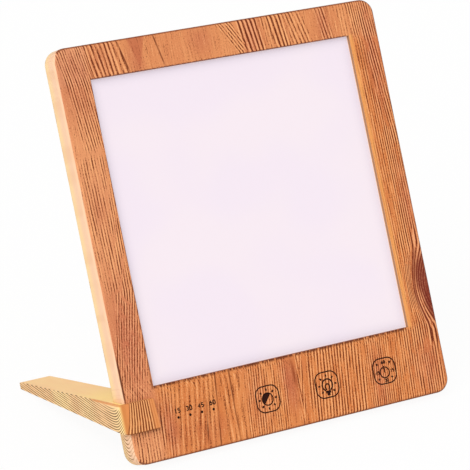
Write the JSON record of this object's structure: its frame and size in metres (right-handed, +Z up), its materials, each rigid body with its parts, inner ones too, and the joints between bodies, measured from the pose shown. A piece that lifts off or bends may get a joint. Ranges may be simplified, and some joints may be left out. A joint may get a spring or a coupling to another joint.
{
  "type": "light therapy lamp",
  "caption": "Thin square light therapy lamp: an opal light window in a wood-effect frame with touch keys, leaning back on one clip-on stand.",
  "frame": {"origin": "centre of the lamp's footprint box, on the table", "axes": "+Z up, +Y from the lit front towards the back, +X to the right as seen from the front"},
  "size_m": [0.2034, 0.1322, 0.2091],
  "materials": {
    "wood_film": "satin wood-grain film on moulded ABS",
    "wood_film_rear": "satin wood-grain film on moulded ABS",
    "opal_acrylic": "opal, softly lit",
    "clear_acrylic": "polished clear",
    "reflector": "white film",
    "aluminium_tray": "mill finish sheet",
    "circuit_board": "green solder mask",
    "led_package": "phosphor in white package",
    "chip_resin": "moulded epoxy",
    "ferrite": "matt ferrite",
    "capacitor_can": "drawn can",
    "black_plastic": "moulded",
    "plated_pin": "nickel plated",
    "smoked_resin": "smoked, unlit",
    "touch_foam": "conductive foam",
    "white_nylon": "moulded",
    "lead_sheath": "PVC sheath",
    "screw_steel": "zinc plated",
    "pad_rubber": "matt"
  },
  "bodies": {
    "panel": {"front_frame": "wood_film", "rear_cover": "wood_film_rear", "diffuser_plate": "opal_acrylic", "light_guide_plate": "clear_acrylic", "reflector_sheet": "reflector", "back_plate": "aluminium_tray", "led_bar_left": "circuit_board", "led_bar_right": "circuit_board", "leds_left": "led_package", "leds_right": "led_package", "control_board": "circuit_board", "microcontroller": "chip_resin", "led_driver": "chip_resin", "inductor": "ferrite", "smoothing_capacitors": "capacitor_can", "dc_jack": "black_plastic", "dc_jack_pin": "plated_pin", "indicator_leds": "led_package", "indicator_light_pipes": "smoked_resin", "indicator_shroud": "black_plastic", "brightness_touch_pad": "touch_foam", "power_touch_pad": "touch_foam", "timer_touch_pad": "touch_foam", "led_connectors": "white_nylon", "led_leads_left": "lead_sheath", "led_leads_right": "lead_sheath", "cover_screws": "screw_steel", "tray_screws": "screw_steel", "board_screws": "screw_steel", "base_pads": "pad_rubber"},
    "stand": {"stand_body": "wood_film", "stand_foot_pad": "pad_rubber", "stand_grip_pads": "pad_rubber"}
  },
  "joints": [
    {"name": "stand_slide", "type": "slide", "parent": "panel", "child": "stand", "axis": [-1, 0, 0], "range_m": [0, 0.022]}
  ]
}
